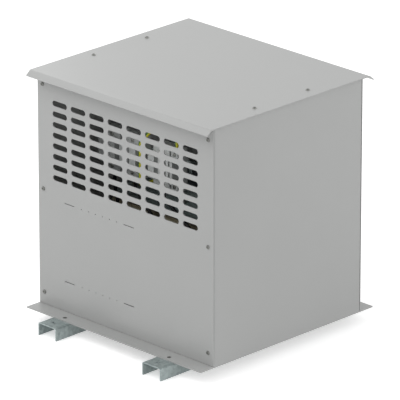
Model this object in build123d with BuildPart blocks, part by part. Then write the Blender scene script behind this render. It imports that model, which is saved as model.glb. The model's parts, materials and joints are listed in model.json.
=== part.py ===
from build123d import *
import os
from math import atan2, cos, sin, tan

# Three-phase dry-type transformer in a ventilated sheet-steel enclosure on two channels.
# Millimetres. +Z is up and -Y is the front. The origin is on the floor under the middle.

# --- Enclosure --------------------------------------------------------------------------
WIDTH = 500.0                # over the two side panels
DEPTH = 427.0                # over the front and rear panels
WALL_HEIGHT = 504.0          # from the base plate up to the roof
SHEET = 2.0                  # panels and roof
BEND = 3.0                   # outside radius of a panel's folds
CORNER_EASE = 1.2            # rounding where a side panel meets the front and rear
BASE_SHEET = 2.5
BASE_REACH = 36.5            # base plate in front of and behind the walls
PANEL_GAP = 0.5              # play above and below the front and rear panels
RETURN_WIDTH = 26.0          # side panel's folds behind the front and rear panels
LEDGE_WIDTH = 40.0           # side panel's folds under the roof and on the base plate
LEDGE_GAP = 3.0              # notch between those folds and the returns
STIFFENER_DEPTH = 14.0       # folds along the top and bottom of the front and rear panels

# --- Roof -------------------------------------------------------------------------------
ROOF_OVERHANG = 6.5          # past each side panel
ROOF_FRONT_REACH = 13.0      # flat roof past the front and rear panels
LIP_REACH = 12.5             # sloping lip, measured flat
LIP_DROP = 10.0
LIP_BEND = 6.0
ROOF_SCREW_INSET = 22.0      # from the side panel's outside
ROOF_SCREW_SPACING = 152.0

# --- Grille -----------------------------------------------------------------------------
SLOT_LENGTH = 42.0
SLOT_HEIGHT = 12.0
SLOT_PITCH_X = 53.0
SLOT_PITCH_Z = 22.86
SLOT_COLUMNS = 8
SLOT_ROWS = 8
GRILLE_TOP = 60.5            # roof down to the middle of the top row
FLOOR_ROWS = 4
FLOOR_COLUMNS = 4

# --- Knock-out lines on the front panel ----------------------------------------------------
KNOCKOUT_LEFT = -174.5       # left end of both lines
KNOCKOUT_HEIGHTS = (65.7, 235.7)
SLIT_LENGTH = 29.5
SLIT_HEIGHT = 1.6
LINE_LENGTH = 200.5          # end to end
DOT_COUNT = 6
DOT_PITCH = 20.2
DOT_RADIUS = 1.1

# --- Panel screws -------------------------------------------------------------------------
PANEL_SCREW_INSET_X = 15.0
PANEL_SCREW_INSET_Z = 27.0
SCREW_SHANK = 2.45           # radius
SCREW_HEAD = 4.5
SCREW_HEAD_HEIGHT = 2.4
SCREW_LENGTH = 12.0
SCREW_CLEARANCE = 0.3        # a hole's radius beyond the shank's
SOCKET_DEPTH = 1.4
HEAD_TAPER = 24.0            # degrees
NUT_BODY = 4.4               # rivet nut, outside radius behind the sheet
NUT_BORE_PLAY = 0.05
NUT_LENGTH = 8.0

# --- Channels -----------------------------------------------------------------------------
CHANNEL_WIDTH = 52.0
CHANNEL_HEIGHT = 28.0
CHANNEL_SHEET = 2.5
CHANNEL_BEND = 4.0
CHANNEL_REACH = 38.0         # past the base plate at the front and at the rear
CHANNEL_SPACING = 300.0
FLOOR_HOLE = 4.5             # radius
FLOOR_HOLE_INSET = 20.0
FLANGE_SCREW_INSET = 12.0
COUNTERSINK = 4.6
COUNTERSINK_PLAY = 0.1

# --- Core, clamps and their bolts ---------------------------------------------------------
LIMB_WIDTH = 60.0
LIMB_PITCH = 140.0
STACK = 70.0                 # depth of the laminated stack
WINDOW_HEIGHT = 143.0
CORE_LIFT = 12.0             # base plate to the lower yoke
CLAMP_SHEET = 3.0
CLAMP_BEND = 5.0
CLAMP_REACH = 40.0
CLAMP_LENGTH = 380.0
CLAMP_CLEARANCE = 2.0        # each clamp stops short of the window's edge
BOLT = 4.0                   # M8, radius
BOLT_CLEARANCE = 0.5
WASHER_RADIUS = 8.0
WASHER_THICKNESS = 1.6
NUT_ACROSS = 7.5             # corner radius of an M8 nut
NUT_HEIGHT = 6.5
BOLT_HEAD_HEIGHT = 5.2
THREAD_END = 3.0             # bolt past its nut
TUBE_WALL = 1.5              # insulating tube round each core stud
RUNNING_PLAY = 0.1
FOOT_BOLT_REACH = 26.0       # from the core's face to a foot bolt

# --- Coils ----------------------------------------------------------------------------------
BOBBIN_PLAY = 0.5            # limb to bobbin
BOBBIN_WALL = 2.5
BOBBIN_CORNER = 3.0
CHEEK = 3.0                  # end flange
CHEEK_PLAY = 2.0             # coil to yoke, above and below
LV_BUILD = 12.0
DUCT = 6.0
HV_BUILD = 12.0
WINDING_PLAY = 0.5           # winding to each cheek
CHEEK_RIM = 1.0              # cheek past the outer winding
SPACER_WIDTH = 8.0

# --- Terminals, rails and leads ------------------------------------------------------------
RAIL_HEIGHT = 35.0
RAIL_CROWN = 25.0
RAIL_DEPTH = 7.5
RAIL_SHEET = 1.0
RAIL_LEFT = -192.0
RAIL_RIGHT = 36.0
RAIL_STAND = 52.0            # upper clamp's top to the rail's middle
RAIL_BACK = 23.0             # core's face to the back of the rail
BRACKET_SHEET = 2.5
BRACKET_WIDTH = 28.0
BRACKET_FOOT = 20.0
BRACKET_PLACES = (-128.0, 2.0)
BLOCK_HEIGHT = 90.0
BLOCK_DEPTH = 44.0
BLOCK_SHOULDER = 28.0        # depth of the terminal steps
BLOCK_NOSE = 48.0            # height of the raised middle
PRIMARY_WIDTH = 46.0
PRIMARY_PLACES = (-158.0, -98.0, -16.0)
SECONDARY_WIDTH = 32.0
SECONDARY_PLACES = (-160.0, -122.0, -84.0, -46.0)
EARTH_BLOCK_WIDTH = 18.0
EARTH_BLOCK_PLACE = 21.0
ENTRY_DEPTH = 16.0
ENTRY_SHARE = 0.75           # where an entry stands across the shoulder
CLAW = 3.2                   # block's hooks round the rail
CLAW_GAP = 0.2
LEAD = 3.5                   # radius
LEAD_PLAY = 0.4
LEAD_BEND = 9.0
LEAD_START = 78.0            # winding's foot up to where its lead leaves
LEAD_RISE = 25.0             # straight rise into a terminal
PRIMARY_STARTS = (-140.0, 0.0, 140.0)
SECONDARY_STARTS = (-140.0, 0.0, 125.0, 175.0)
EARTH_X = -57.0
EARTH_FRONT = 113.0          # earth lead's rise, in front of the middle
LUG_SHEET = 2.0
LUG_WIDTH = 13.0

# --- Worked out ---------------------------------------------------------------------------
BASE_TOP = CHANNEL_HEIGHT + BASE_SHEET
ROOF_UNDER = BASE_TOP + WALL_HEIGHT
BASE_DEPTH = DEPTH + 2 * BASE_REACH
CHANNEL_LENGTH = BASE_DEPTH + 2 * CHANNEL_REACH
WALL_IN = DEPTH / 2 - SHEET              # back of the front panel, from the middle
RETURN_IN = WALL_IN - SHEET
SCREW_HOLE = SCREW_SHANK + SCREW_CLEARANCE
SOCKET = SCREW_SHANK * 0.7               # corner radius of a screw's hexagon socket
BOLT_HOLE = BOLT + BOLT_CLEARANCE
GRILLE_MIDDLE = WALL_HEIGHT - GRILLE_TOP - (SLOT_ROWS - 1) * SLOT_PITCH_Z / 2
CORE_BOTTOM = BASE_TOP + CORE_LIFT
WINDOW_BOTTOM = CORE_BOTTOM + LIMB_WIDTH
WINDOW_TOP = WINDOW_BOTTOM + WINDOW_HEIGHT
CORE_TOP = WINDOW_TOP + LIMB_WIDTH
CORE_FACE = STACK / 2
LOWER_CLAMP_HEIGHT = WINDOW_BOTTOM - CLAMP_CLEARANCE - BASE_TOP
UPPER_CLAMP_BOTTOM = WINDOW_TOP + CLAMP_CLEARANCE
UPPER_CLAMP_HEIGHT = LIMB_WIDTH - 2 * CLAMP_CLEARANCE
UPPER_CLAMP_TOP = UPPER_CLAMP_BOTTOM + UPPER_CLAMP_HEIGHT
CLAMP_FRONT = CORE_FACE + CLAMP_REACH
LIMB_PLACES = (-LIMB_PITCH, 0.0, LIMB_PITCH)
YOKE_LEVELS = (CORE_BOTTOM + LIMB_WIDTH / 2, WINDOW_TOP + LIMB_WIDTH / 2)
STUD_PLACES = [(x, z) for x in LIMB_PLACES for z in YOKE_LEVELS]
FOOT_BOLT_Y = CORE_FACE + FOOT_BOLT_REACH
COIL_BOTTOM = WINDOW_BOTTOM + CHEEK_PLAY
COIL_HEIGHT = WINDOW_HEIGHT - 2 * CHEEK_PLAY
WINDING_BOTTOM = COIL_BOTTOM + CHEEK + WINDING_PLAY
WINDING_HEIGHT = COIL_HEIGHT - 2 * (CHEEK + WINDING_PLAY)
BOBBIN_OUT = BOBBIN_PLAY + BOBBIN_WALL   # from the limb's face
LV_OUT = BOBBIN_OUT + LV_BUILD
DUCT_OUT = LV_OUT + DUCT
HV_OUT = DUCT_OUT + HV_BUILD
RAIL_MIDDLE = UPPER_CLAMP_TOP + RAIL_STAND
RAIL_FRONT = CORE_FACE + RAIL_BACK + RAIL_DEPTH
ENTRY_Y = RAIL_FRONT + BLOCK_SHOULDER * ENTRY_SHARE
BLOCK_BOTTOM = RAIL_MIDDLE - BLOCK_HEIGHT / 2
BLOCK_TOP = RAIL_MIDDLE + BLOCK_HEIGHT / 2
LEAD_LEVEL = WINDING_BOTTOM + LEAD_START


def save(piece, name):
    """Labels a finished piece and writes it."""
    piece.part.label = name
    export_step(piece.part, f"parts/{name}.step")


# --- Sections and fasteners used by several pieces -------------------------------------------
def folded_u(width, height, sheet, bend):
    """A folded U in the XY plane: it opens towards -Y and its web's outside is at y = height."""
    with BuildSketch() as section:
        RectangleRounded(width, 2 * height, bend)
        RectangleRounded(width - 2 * sheet, 2 * (height - sheet), bend - sheet, mode=Mode.SUBTRACT)
        with Locations((0, -height / 2)):
            Rectangle(width, height, mode=Mode.SUBTRACT)
    return section.sketch


def round_limb(offset):
    """A rounded outline round a limb, at a distance from the limb's faces."""
    corner = BOBBIN_CORNER + offset - BOBBIN_OUT
    with BuildSketch() as section:
        RectangleRounded(LIMB_WIDTH + 2 * offset, STACK + 2 * offset, corner)
    return section.sketch


def ring(offset_in, offset_out):
    """A winding's section, between two distances from the limb's faces."""
    outside = round_limb(offset_out)
    inside = round_limb(offset_in)
    with BuildSketch() as section:
        add(outside)
        add(inside, mode=Mode.SUBTRACT)
    return section.sketch


def bobbin_section(offset):
    """A bobbin's section: rounded outside, square inside to pass over the limb."""
    outside = round_limb(offset)
    with BuildSketch() as section:
        add(outside)
        Rectangle(LIMB_WIDTH + 2 * BOBBIN_PLAY, STACK + 2 * BOBBIN_PLAY, mode=Mode.SUBTRACT)
    return section.sketch


def button_screws(planes, length):
    """Socket button-head screws: each head stands on its plane and the shank goes into it."""
    with BuildPart() as group:
        with BuildSketch(*planes):
            Circle(SCREW_HEAD)
        extrude(amount=SCREW_HEAD_HEIGHT, taper=HEAD_TAPER)
        with BuildSketch(*planes):
            Circle(SCREW_SHANK)
        extrude(amount=-length)
        with BuildSketch(*[plane.offset(SCREW_HEAD_HEIGHT) for plane in planes]):
            RegularPolygon(SOCKET, 6)
        extrude(amount=-SOCKET_DEPTH, mode=Mode.SUBTRACT)
    return group


def rivet_nuts(planes):
    """Rivet nuts: each collar lies behind the sheet, on its plane, and points along the normal."""
    with BuildPart() as group:
        with BuildSketch(*planes):
            Circle(NUT_BODY)
            Circle(SCREW_SHANK + NUT_BORE_PLAY, mode=Mode.SUBTRACT)
        extrude(amount=NUT_LENGTH)
    return group


def hex_bolts(planes, length):
    """M8 hex-head bolts: each head stands on its plane and the shank goes into it."""
    with BuildPart() as group:
        with BuildSketch(*planes):
            RegularPolygon(NUT_ACROSS, 6)
        extrude(amount=BOLT_HEAD_HEIGHT)
        with BuildSketch(*planes):
            Circle(BOLT)
        extrude(amount=-length)
    return group


def hex_nuts(planes):
    """M8 nuts, each standing on its plane."""
    with BuildPart() as group:
        with BuildSketch(*planes):
            RegularPolygon(NUT_ACROSS, 6)
            Circle(BOLT + RUNNING_PLAY, mode=Mode.SUBTRACT)
        extrude(amount=NUT_HEIGHT)
    return group


def washers(planes):
    """M8 washers, each lying on its plane."""
    with BuildPart() as group:
        with BuildSketch(*planes):
            Circle(WASHER_RADIUS)
            Circle(BOLT + RUNNING_PLAY, mode=Mode.SUBTRACT)
        extrude(amount=WASHER_THICKNESS)
    return group


def facing(origin, direction):
    """A plane at a point, looking along a direction, with a level X axis where it can have one."""
    sideways = (1, 0, 0) if abs(direction[0]) < 0.5 else (0, 1, 0)
    return Plane(origin=origin, x_dir=sideways, z_dir=direction)


# --- Channels and base plate --------------------------------------------------------------------
def channel(x):
    """An inverted U under the base plate, with a bolt hole past the plate at each end."""
    section = folded_u(CHANNEL_WIDTH, CHANNEL_HEIGHT, CHANNEL_SHEET, CHANNEL_BEND)
    hole_y = CHANNEL_LENGTH / 2 - FLOOR_HOLE_INSET
    screw_y = BASE_DEPTH / 2 - FLANGE_SCREW_INSET
    with BuildPart() as piece:
        with BuildSketch(Plane.XZ):
            with Locations((x, 0)):
                add(section)
        extrude(amount=CHANNEL_LENGTH / 2, both=True)
        with BuildSketch(Plane.XY.offset(CHANNEL_HEIGHT)):
            with Locations((x, -hole_y), (x, hole_y)):
                Circle(FLOOR_HOLE)
            with Locations((x, -screw_y), (x, screw_y)):
                Circle(SCREW_HOLE)
            with Locations((x, -FOOT_BOLT_Y), (x, FOOT_BOLT_Y)):
                Circle(BOLT_HOLE)
        extrude(amount=-2 * CHANNEL_SHEET, mode=Mode.SUBTRACT)
    return piece


CHANNEL_X = CHANNEL_SPACING / 2
LEDGE_SCREW_X = WIDTH / 2 - ROOF_SCREW_INSET
LEDGE_SCREW_YS = (-ROOF_SCREW_SPACING / 2, ROOF_SCREW_SPACING / 2)
FLANGE_SCREW_Y = BASE_DEPTH / 2 - FLANGE_SCREW_INSET

with BuildPart() as base_plate:
    with BuildSketch(Plane.XY.offset(CHANNEL_HEIGHT)):
        Rectangle(WIDTH, BASE_DEPTH)
        for side in (-1, 1):
            with Locations((0, side * (CLAMP_FRONT + RETURN_IN) / 2)):
                with GridLocations(SLOT_PITCH_X, SLOT_PITCH_Z, FLOOR_COLUMNS, FLOOR_ROWS):
                    SlotOverall(SLOT_LENGTH, SLOT_HEIGHT, mode=Mode.SUBTRACT)
        with GridLocations(CHANNEL_SPACING, 2 * FOOT_BOLT_Y, 2, 2):
            Circle(BOLT_HOLE, mode=Mode.SUBTRACT)
        with GridLocations(2 * LEDGE_SCREW_X, ROOF_SCREW_SPACING, 2, 2):
            Circle(SCREW_HOLE, mode=Mode.SUBTRACT)
    extrude(amount=BASE_SHEET)
    with Locations(Plane.XY.offset(BASE_TOP)):
        with GridLocations(CHANNEL_SPACING, 2 * FLANGE_SCREW_Y, 2, 2):
            CounterSinkHole(SCREW_HOLE, COUNTERSINK, counter_sink_angle=90)


# --- Walls and roof ---------------------------------------------------------------------------
def side_panel(side):
    """A side panel: web, returns behind the front and rear panels, ledges above and below."""
    section = folded_u(2 * WALL_IN, RETURN_WIDTH, SHEET, BEND)
    ledge_depth = 2 * (RETURN_IN - LEDGE_GAP)
    ledge_x = side * (WIDTH / 2 - LEDGE_WIDTH / 2)
    screw_xs = side * (WIDTH / 2 - PANEL_SCREW_INSET_X)
    screw_zs = panel_screw_levels()
    with BuildPart() as piece:
        with BuildSketch(Plane.XY.offset(BASE_TOP)):
            with Locations((side * (WIDTH / 2 - RETURN_WIDTH), 0)):
                add(section, rotation=-90 * side)
        extrude(amount=WALL_HEIGHT)
        for level in (BASE_TOP, ROOF_UNDER - SHEET):
            with BuildSketch(Plane.XY.offset(level)):
                with Locations((ledge_x - side * SHEET / 2, 0)):
                    Rectangle(LEDGE_WIDTH - SHEET, ledge_depth)
                with Locations(*[(side * LEDGE_SCREW_X, y) for y in LEDGE_SCREW_YS]):
                    Circle(SCREW_HOLE, mode=Mode.SUBTRACT)
            extrude(amount=SHEET)
        with BuildSketch(Plane.XZ):
            with Locations(*[(screw_xs, z) for z in screw_zs]):
                Circle(SCREW_HOLE)
        extrude(amount=DEPTH, both=True, mode=Mode.SUBTRACT)
    return piece


def panel_screw_levels():
    """Heights of a panel's three rows of screws."""
    low = BASE_TOP + PANEL_SCREW_INSET_Z
    high = ROOF_UNDER - PANEL_SCREW_INSET_Z
    return (low, (low + high) / 2, high)


def knockout_line(height):
    """Places of one line: its two slits and its dots, as (x, z) on the front panel."""
    slits = [
        (KNOCKOUT_LEFT + SLIT_LENGTH / 2, height),
        (KNOCKOUT_LEFT + LINE_LENGTH - SLIT_LENGTH / 2, height),
    ]
    middle = KNOCKOUT_LEFT + LINE_LENGTH / 2
    first = middle - (DOT_COUNT - 1) * DOT_PITCH / 2
    dots = [(first + k * DOT_PITCH, height) for k in range(DOT_COUNT)]
    return slits, dots


def grille_panel(side, with_knockouts):
    """A screwed-on panel with the slotted grille and folded stiffeners. side -1 is the front."""
    panel_height = WALL_HEIGHT - 2 * PANEL_GAP
    stiffener_width = WIDTH - 2 * (LEDGE_WIDTH + LEDGE_GAP)
    screws = [(x, z) for x in (-1, 1) for z in panel_screw_levels()]
    with BuildPart() as piece:
        with BuildSketch(Plane.XZ.offset(-side * DEPTH / 2)) as face:
            with Locations((0, BASE_TOP + WALL_HEIGHT / 2)):
                Rectangle(WIDTH, panel_height)
            with Locations((0, BASE_TOP + GRILLE_MIDDLE)):
                with GridLocations(SLOT_PITCH_X, SLOT_PITCH_Z, SLOT_COLUMNS, SLOT_ROWS):
                    SlotOverall(SLOT_LENGTH, SLOT_HEIGHT, mode=Mode.SUBTRACT)
            with Locations(*[(x * (WIDTH / 2 - PANEL_SCREW_INSET_X), z) for x, z in screws]):
                Circle(SCREW_HOLE, mode=Mode.SUBTRACT)
            if with_knockouts:
                for height in KNOCKOUT_HEIGHTS:
                    slits, dots = knockout_line(BASE_TOP + height)
                    with Locations(*slits):
                        SlotOverall(SLIT_LENGTH, SLIT_HEIGHT, mode=Mode.SUBTRACT)
                    with Locations(*dots):
                        Circle(DOT_RADIUS, mode=Mode.SUBTRACT)
        extrude(amount=side * SHEET)
        corners = piece.edges().filter_by(Axis.Z).filter_by_position(Axis.X, -WIDTH, -WIDTH / 2 + 0.1)
        corners += piece.edges().filter_by(Axis.Z).filter_by_position(Axis.X, WIDTH / 2 - 0.1, WIDTH)
        fillet(corners.filter_by(lambda edge: abs(edge.center().Y) > WALL_IN + SHEET / 2), CORNER_EASE)
        for level in (BASE_TOP + PANEL_GAP, ROOF_UNDER - PANEL_GAP - SHEET):
            with BuildSketch(Plane.XY.offset(level)):
                with Locations((0, side * (WALL_IN - STIFFENER_DEPTH / 2 + SHEET / 2))):
                    Rectangle(stiffener_width, STIFFENER_DEPTH)
            extrude(amount=SHEET)
    return piece


with BuildPart() as roof_panel:
    flat_end = DEPTH / 2 + ROOF_FRONT_REACH
    slope = atan2(LIP_DROP, LIP_REACH)
    roof_top = ROOF_UNDER + SHEET
    lip_end = (flat_end + LIP_REACH, roof_top - LIP_DROP)
    lip_inside = (lip_end[0] - SHEET * sin(slope), lip_end[1] - SHEET * cos(slope))
    bend_inside = (flat_end - SHEET * tan(slope / 2), ROOF_UNDER)
    right_half = [(flat_end, roof_top), lip_end, lip_inside, bend_inside]
    outline = right_half + [(-y, z) for y, z in reversed(right_half)]
    with BuildSketch(Plane.YZ) as roof_section:
        with BuildLine():
            Polyline(*outline, close=True)
        make_face()
        crowns = roof_section.vertices().group_by(Axis.Y)[-1]
        fillet(crowns, LIP_BEND)
        hollows = roof_section.vertices().filter_by(lambda v: abs(v.Y - ROOF_UNDER) < 0.01)
        fillet(hollows, LIP_BEND - SHEET)
    extrude(amount=WIDTH / 2 + ROOF_OVERHANG, both=True)
    with BuildSketch(Plane.XY.offset(roof_top)):
        with GridLocations(2 * LEDGE_SCREW_X, ROOF_SCREW_SPACING, 2, 2):
            Circle(SCREW_HOLE)
    extrude(amount=-2 * SHEET, mode=Mode.SUBTRACT)

# --- Enclosure fasteners --------------------------------------------------------------------------
panel_screw_x = WIDTH / 2 - PANEL_SCREW_INSET_X
panel_places = [(x, z) for x in (-panel_screw_x, panel_screw_x) for z in panel_screw_levels()]
ledge_places = [(x, y) for x in (-LEDGE_SCREW_X, LEDGE_SCREW_X) for y in LEDGE_SCREW_YS]
flange_places = [(x, y) for x in (-CHANNEL_X, CHANNEL_X) for y in (-FLANGE_SCREW_Y, FLANGE_SCREW_Y)]

front_planes = [facing((x, -DEPTH / 2, z), (0, -1, 0)) for x, z in panel_places]
rear_planes = [facing((x, DEPTH / 2, z), (0, 1, 0)) for x, z in panel_places]
roof_planes = [facing((x, y, roof_top), (0, 0, 1)) for x, y in ledge_places]
underside_planes = [facing((x, y, CHANNEL_HEIGHT), (0, 0, -1)) for x, y in ledge_places]
front_panel_screws = button_screws(front_planes, SCREW_LENGTH)
rear_panel_screws = button_screws(rear_planes, SCREW_LENGTH)
roof_screws = button_screws(roof_planes, SCREW_LENGTH)
ledge_screws = button_screws(underside_planes, SCREW_LENGTH)

nut_planes = [facing((x, -RETURN_IN, z), (0, 1, 0)) for x, z in panel_places]
nut_planes += [facing((x, RETURN_IN, z), (0, -1, 0)) for x, z in panel_places]
nut_planes += [facing((x, y, ROOF_UNDER - SHEET), (0, 0, -1)) for x, y in ledge_places]
nut_planes += [facing((x, y, BASE_TOP + SHEET), (0, 0, 1)) for x, y in ledge_places]
enclosure_nuts = rivet_nuts(nut_planes)

with BuildPart() as flange_screws:
    sink = COUNTERSINK - COUNTERSINK_PLAY - SCREW_SHANK
    with BuildSketch(Plane.XY.offset(BASE_TOP - COUNTERSINK_PLAY / 2)):
        with Locations(*flange_places):
            Circle(COUNTERSINK - COUNTERSINK_PLAY)
    extrude(amount=-sink, taper=45)
    with BuildSketch(Plane.XY.offset(BASE_TOP - sink)):
        with Locations(*flange_places):
            Circle(SCREW_SHANK)
    extrude(amount=-(SCREW_LENGTH - sink))
    with BuildSketch(Plane.XY.offset(BASE_TOP - COUNTERSINK_PLAY / 2)):
        with Locations(*flange_places):
            RegularPolygon(SOCKET, 6)
    extrude(amount=-SOCKET_DEPTH, mode=Mode.SUBTRACT)

channel_under = CHANNEL_HEIGHT - CHANNEL_SHEET
flange_nuts = rivet_nuts([facing((x, y, channel_under), (0, 0, -1)) for x, y in flange_places])


# --- Core and clamps ---------------------------------------------------------------------------
with BuildPart() as core:
    with BuildSketch(Plane.XZ):
        with Locations((0, (CORE_BOTTOM + CORE_TOP) / 2)):
            Rectangle(2 * LIMB_PITCH + LIMB_WIDTH, CORE_TOP - CORE_BOTTOM)
        with Locations((0, (WINDOW_BOTTOM + WINDOW_TOP) / 2)):
            with GridLocations(LIMB_PITCH, 1, 2, 1):
                Rectangle(LIMB_PITCH - LIMB_WIDTH, WINDOW_HEIGHT, mode=Mode.SUBTRACT)
        with Locations(*STUD_PLACES):
            Circle(BOLT + RUNNING_PLAY + TUBE_WALL + RUNNING_PLAY, mode=Mode.SUBTRACT)
    extrude(amount=STACK / 2, both=True)


def clamp(side, bottom, height, stud_level, foot_holes, top_holes):
    """A yoke clamp: a U with its web on the core and its flanges outwards. side -1 is the front."""
    section = folded_u(height, CLAMP_REACH, CLAMP_SHEET, CLAMP_BEND)
    with BuildPart() as piece:
        with BuildSketch(Plane.YZ):
            with Locations((side * CLAMP_FRONT, bottom + height / 2)):
                add(section, rotation=90 * side)
        extrude(amount=CLAMP_LENGTH / 2, both=True)
        with BuildSketch(Plane.XZ):
            with Locations(*[(x, stud_level) for x in LIMB_PLACES]):
                Circle(BOLT_HOLE)
        extrude(amount=-side * CLAMP_FRONT, mode=Mode.SUBTRACT)
        if foot_holes:
            with BuildSketch(Plane.XY.offset(bottom)):
                with Locations(*foot_holes):
                    Circle(BOLT_HOLE)
            extrude(amount=2 * CLAMP_SHEET, mode=Mode.SUBTRACT)
        if top_holes:
            with BuildSketch(Plane.XY.offset(bottom + height)):
                with Locations(*top_holes):
                    Circle(SCREW_HOLE)
            extrude(amount=-2 * CLAMP_SHEET, mode=Mode.SUBTRACT)
    return piece


BRACKET_HOLE_Y = CORE_FACE + RAIL_BACK - BRACKET_SHEET - BRACKET_FOOT / 2
EARTH_STUD_Y = CLAMP_FRONT - LUG_WIDTH


def bracket_holes(side):
    """Places of the rail brackets' screws on an upper clamp."""
    return [(x, side * BRACKET_HOLE_Y) for x in BRACKET_PLACES]


def foot_holes(side):
    """Places of the foot bolts in a lower clamp."""
    return [(x, side * FOOT_BOLT_Y) for x in (-CHANNEL_X, CHANNEL_X)]


earth_hole = (EARTH_X, -EARTH_STUD_Y)
lower_clamp_front = clamp(-1, BASE_TOP, LOWER_CLAMP_HEIGHT, YOKE_LEVELS[0], foot_holes(-1), None)
lower_clamp_rear = clamp(1, BASE_TOP, LOWER_CLAMP_HEIGHT, YOKE_LEVELS[0], foot_holes(1), None)
upper_clamp_front = clamp(
    -1, UPPER_CLAMP_BOTTOM, UPPER_CLAMP_HEIGHT, YOKE_LEVELS[1], None, bracket_holes(-1) + [earth_hole]
)
upper_clamp_rear = clamp(
    1, UPPER_CLAMP_BOTTOM, UPPER_CLAMP_HEIGHT, YOKE_LEVELS[1], None, bracket_holes(1)
)

# Studs run through both clamps and the yoke, inside insulating tubes.
web_out = CORE_FACE + CLAMP_SHEET
stud_half = web_out + WASHER_THICKNESS + NUT_HEIGHT + THREAD_END
with BuildPart() as clamp_studs:
    with BuildSketch(Plane.XZ):
        with Locations(*STUD_PLACES):
            Circle(BOLT)
    extrude(amount=stud_half, both=True)
with BuildPart() as stud_tubes:
    with BuildSketch(Plane.XZ):
        with Locations(*STUD_PLACES):
            Circle(BOLT + RUNNING_PLAY + TUBE_WALL)
            Circle(BOLT + RUNNING_PLAY, mode=Mode.SUBTRACT)
    extrude(amount=STACK / 2, both=True)


def stud_planes(distance):
    """Planes on both faces of the core stack, this far from its middle, looking outwards."""
    return [facing((x, side * distance, z), (0, side, 0)) for side in (-1, 1) for x, z in STUD_PLACES]


stud_washers = washers(stud_planes(web_out))
stud_nuts = hex_nuts(stud_planes(web_out + WASHER_THICKNESS))

# Foot bolts hold the lower clamps to the base plate and the channels.
foot_places = foot_holes(-1) + foot_holes(1)
foot_top = BASE_TOP + CLAMP_SHEET
foot_grip = CLAMP_SHEET + BASE_SHEET + CHANNEL_SHEET
foot_length = foot_grip + 2 * WASHER_THICKNESS + NUT_HEIGHT + THREAD_END
foot_bolts = hex_bolts(
    [facing((x, y, foot_top + WASHER_THICKNESS), (0, 0, 1)) for x, y in foot_places], foot_length
)
foot_washers = washers(
    [facing((x, y, foot_top), (0, 0, 1)) for x, y in foot_places]
    + [facing((x, y, channel_under), (0, 0, -1)) for x, y in foot_places]
)
foot_nuts = hex_nuts(
    [facing((x, y, channel_under - WASHER_THICKNESS), (0, 0, -1)) for x, y in foot_places]
)


# --- Coils ------------------------------------------------------------------------------------
def bobbin(x):
    """A coil former: a rounded tube round the limb with a cheek at each end."""
    tube = bobbin_section(BOBBIN_OUT)
    cheek = bobbin_section(HV_OUT + CHEEK_RIM)
    with BuildPart() as piece:
        with BuildSketch(Plane.XY.offset(COIL_BOTTOM)):
            with Locations((x, 0)):
                add(tube)
        extrude(amount=COIL_HEIGHT)
        for level in (COIL_BOTTOM, COIL_BOTTOM + COIL_HEIGHT - CHEEK):
            with BuildSketch(Plane.XY.offset(level)):
                with Locations((x, 0)):
                    add(cheek)
            extrude(amount=CHEEK)
    return piece


def winding(x, offset_in, offset_out):
    """A winding between two distances from the limb's faces."""
    section = ring(offset_in, offset_out)
    with BuildPart() as piece:
        with BuildSketch(Plane.XY.offset(WINDING_BOTTOM)):
            with Locations((x, 0)):
                add(section)
        extrude(amount=WINDING_HEIGHT)
    return piece


def duct_spacers(x):
    """Upright sticks that keep the cooling duct open between the two windings of a coil."""
    middle_x = LIMB_WIDTH / 2 + (LV_OUT + DUCT_OUT) / 2
    middle_y = STACK / 2 + (LV_OUT + DUCT_OUT) / 2
    with BuildPart() as group:
        with BuildSketch(Plane.XY.offset(WINDING_BOTTOM)):
            with Locations((x, 0)):
                with GridLocations(LIMB_WIDTH / 2, 2 * middle_y, 2, 2):
                    Rectangle(SPACER_WIDTH, DUCT)
                with GridLocations(2 * middle_x, STACK / 2, 2, 2):
                    Rectangle(DUCT, SPACER_WIDTH)
        extrude(amount=WINDING_HEIGHT)
    return group


# --- Rails, terminals and leads -----------------------------------------------------------------
def rail(side):
    """A top-hat rail along X, its crown on the brackets. side -1 is the front."""
    back = side * (CORE_FACE + RAIL_BACK)
    wing = (RAIL_HEIGHT - RAIL_CROWN) / 2 + RAIL_SHEET / 2
    with BuildPart() as piece:
        with BuildSketch(Plane.YZ.offset(RAIL_LEFT)):
            with Locations((back + side * RAIL_SHEET / 2, RAIL_MIDDLE)):
                Rectangle(RAIL_SHEET, RAIL_CROWN)
            for up in (-1, 1):
                step_z = RAIL_MIDDLE + up * (RAIL_CROWN - RAIL_SHEET) / 2
                with Locations((back + side * RAIL_DEPTH / 2, step_z)):
                    Rectangle(RAIL_DEPTH, RAIL_SHEET)
                wing_z = RAIL_MIDDLE + up * (RAIL_HEIGHT - wing) / 2
                with Locations((back + side * (RAIL_DEPTH - RAIL_SHEET / 2), wing_z)):
                    Rectangle(RAIL_SHEET, wing)
        extrude(amount=RAIL_RIGHT - RAIL_LEFT)
        with BuildSketch(Plane.XZ):
            with Locations(*[(x, RAIL_MIDDLE) for x in BRACKET_PLACES]):
                Circle(SCREW_HOLE)
        extrude(amount=-side * CLAMP_FRONT, mode=Mode.SUBTRACT)
    return piece


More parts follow.
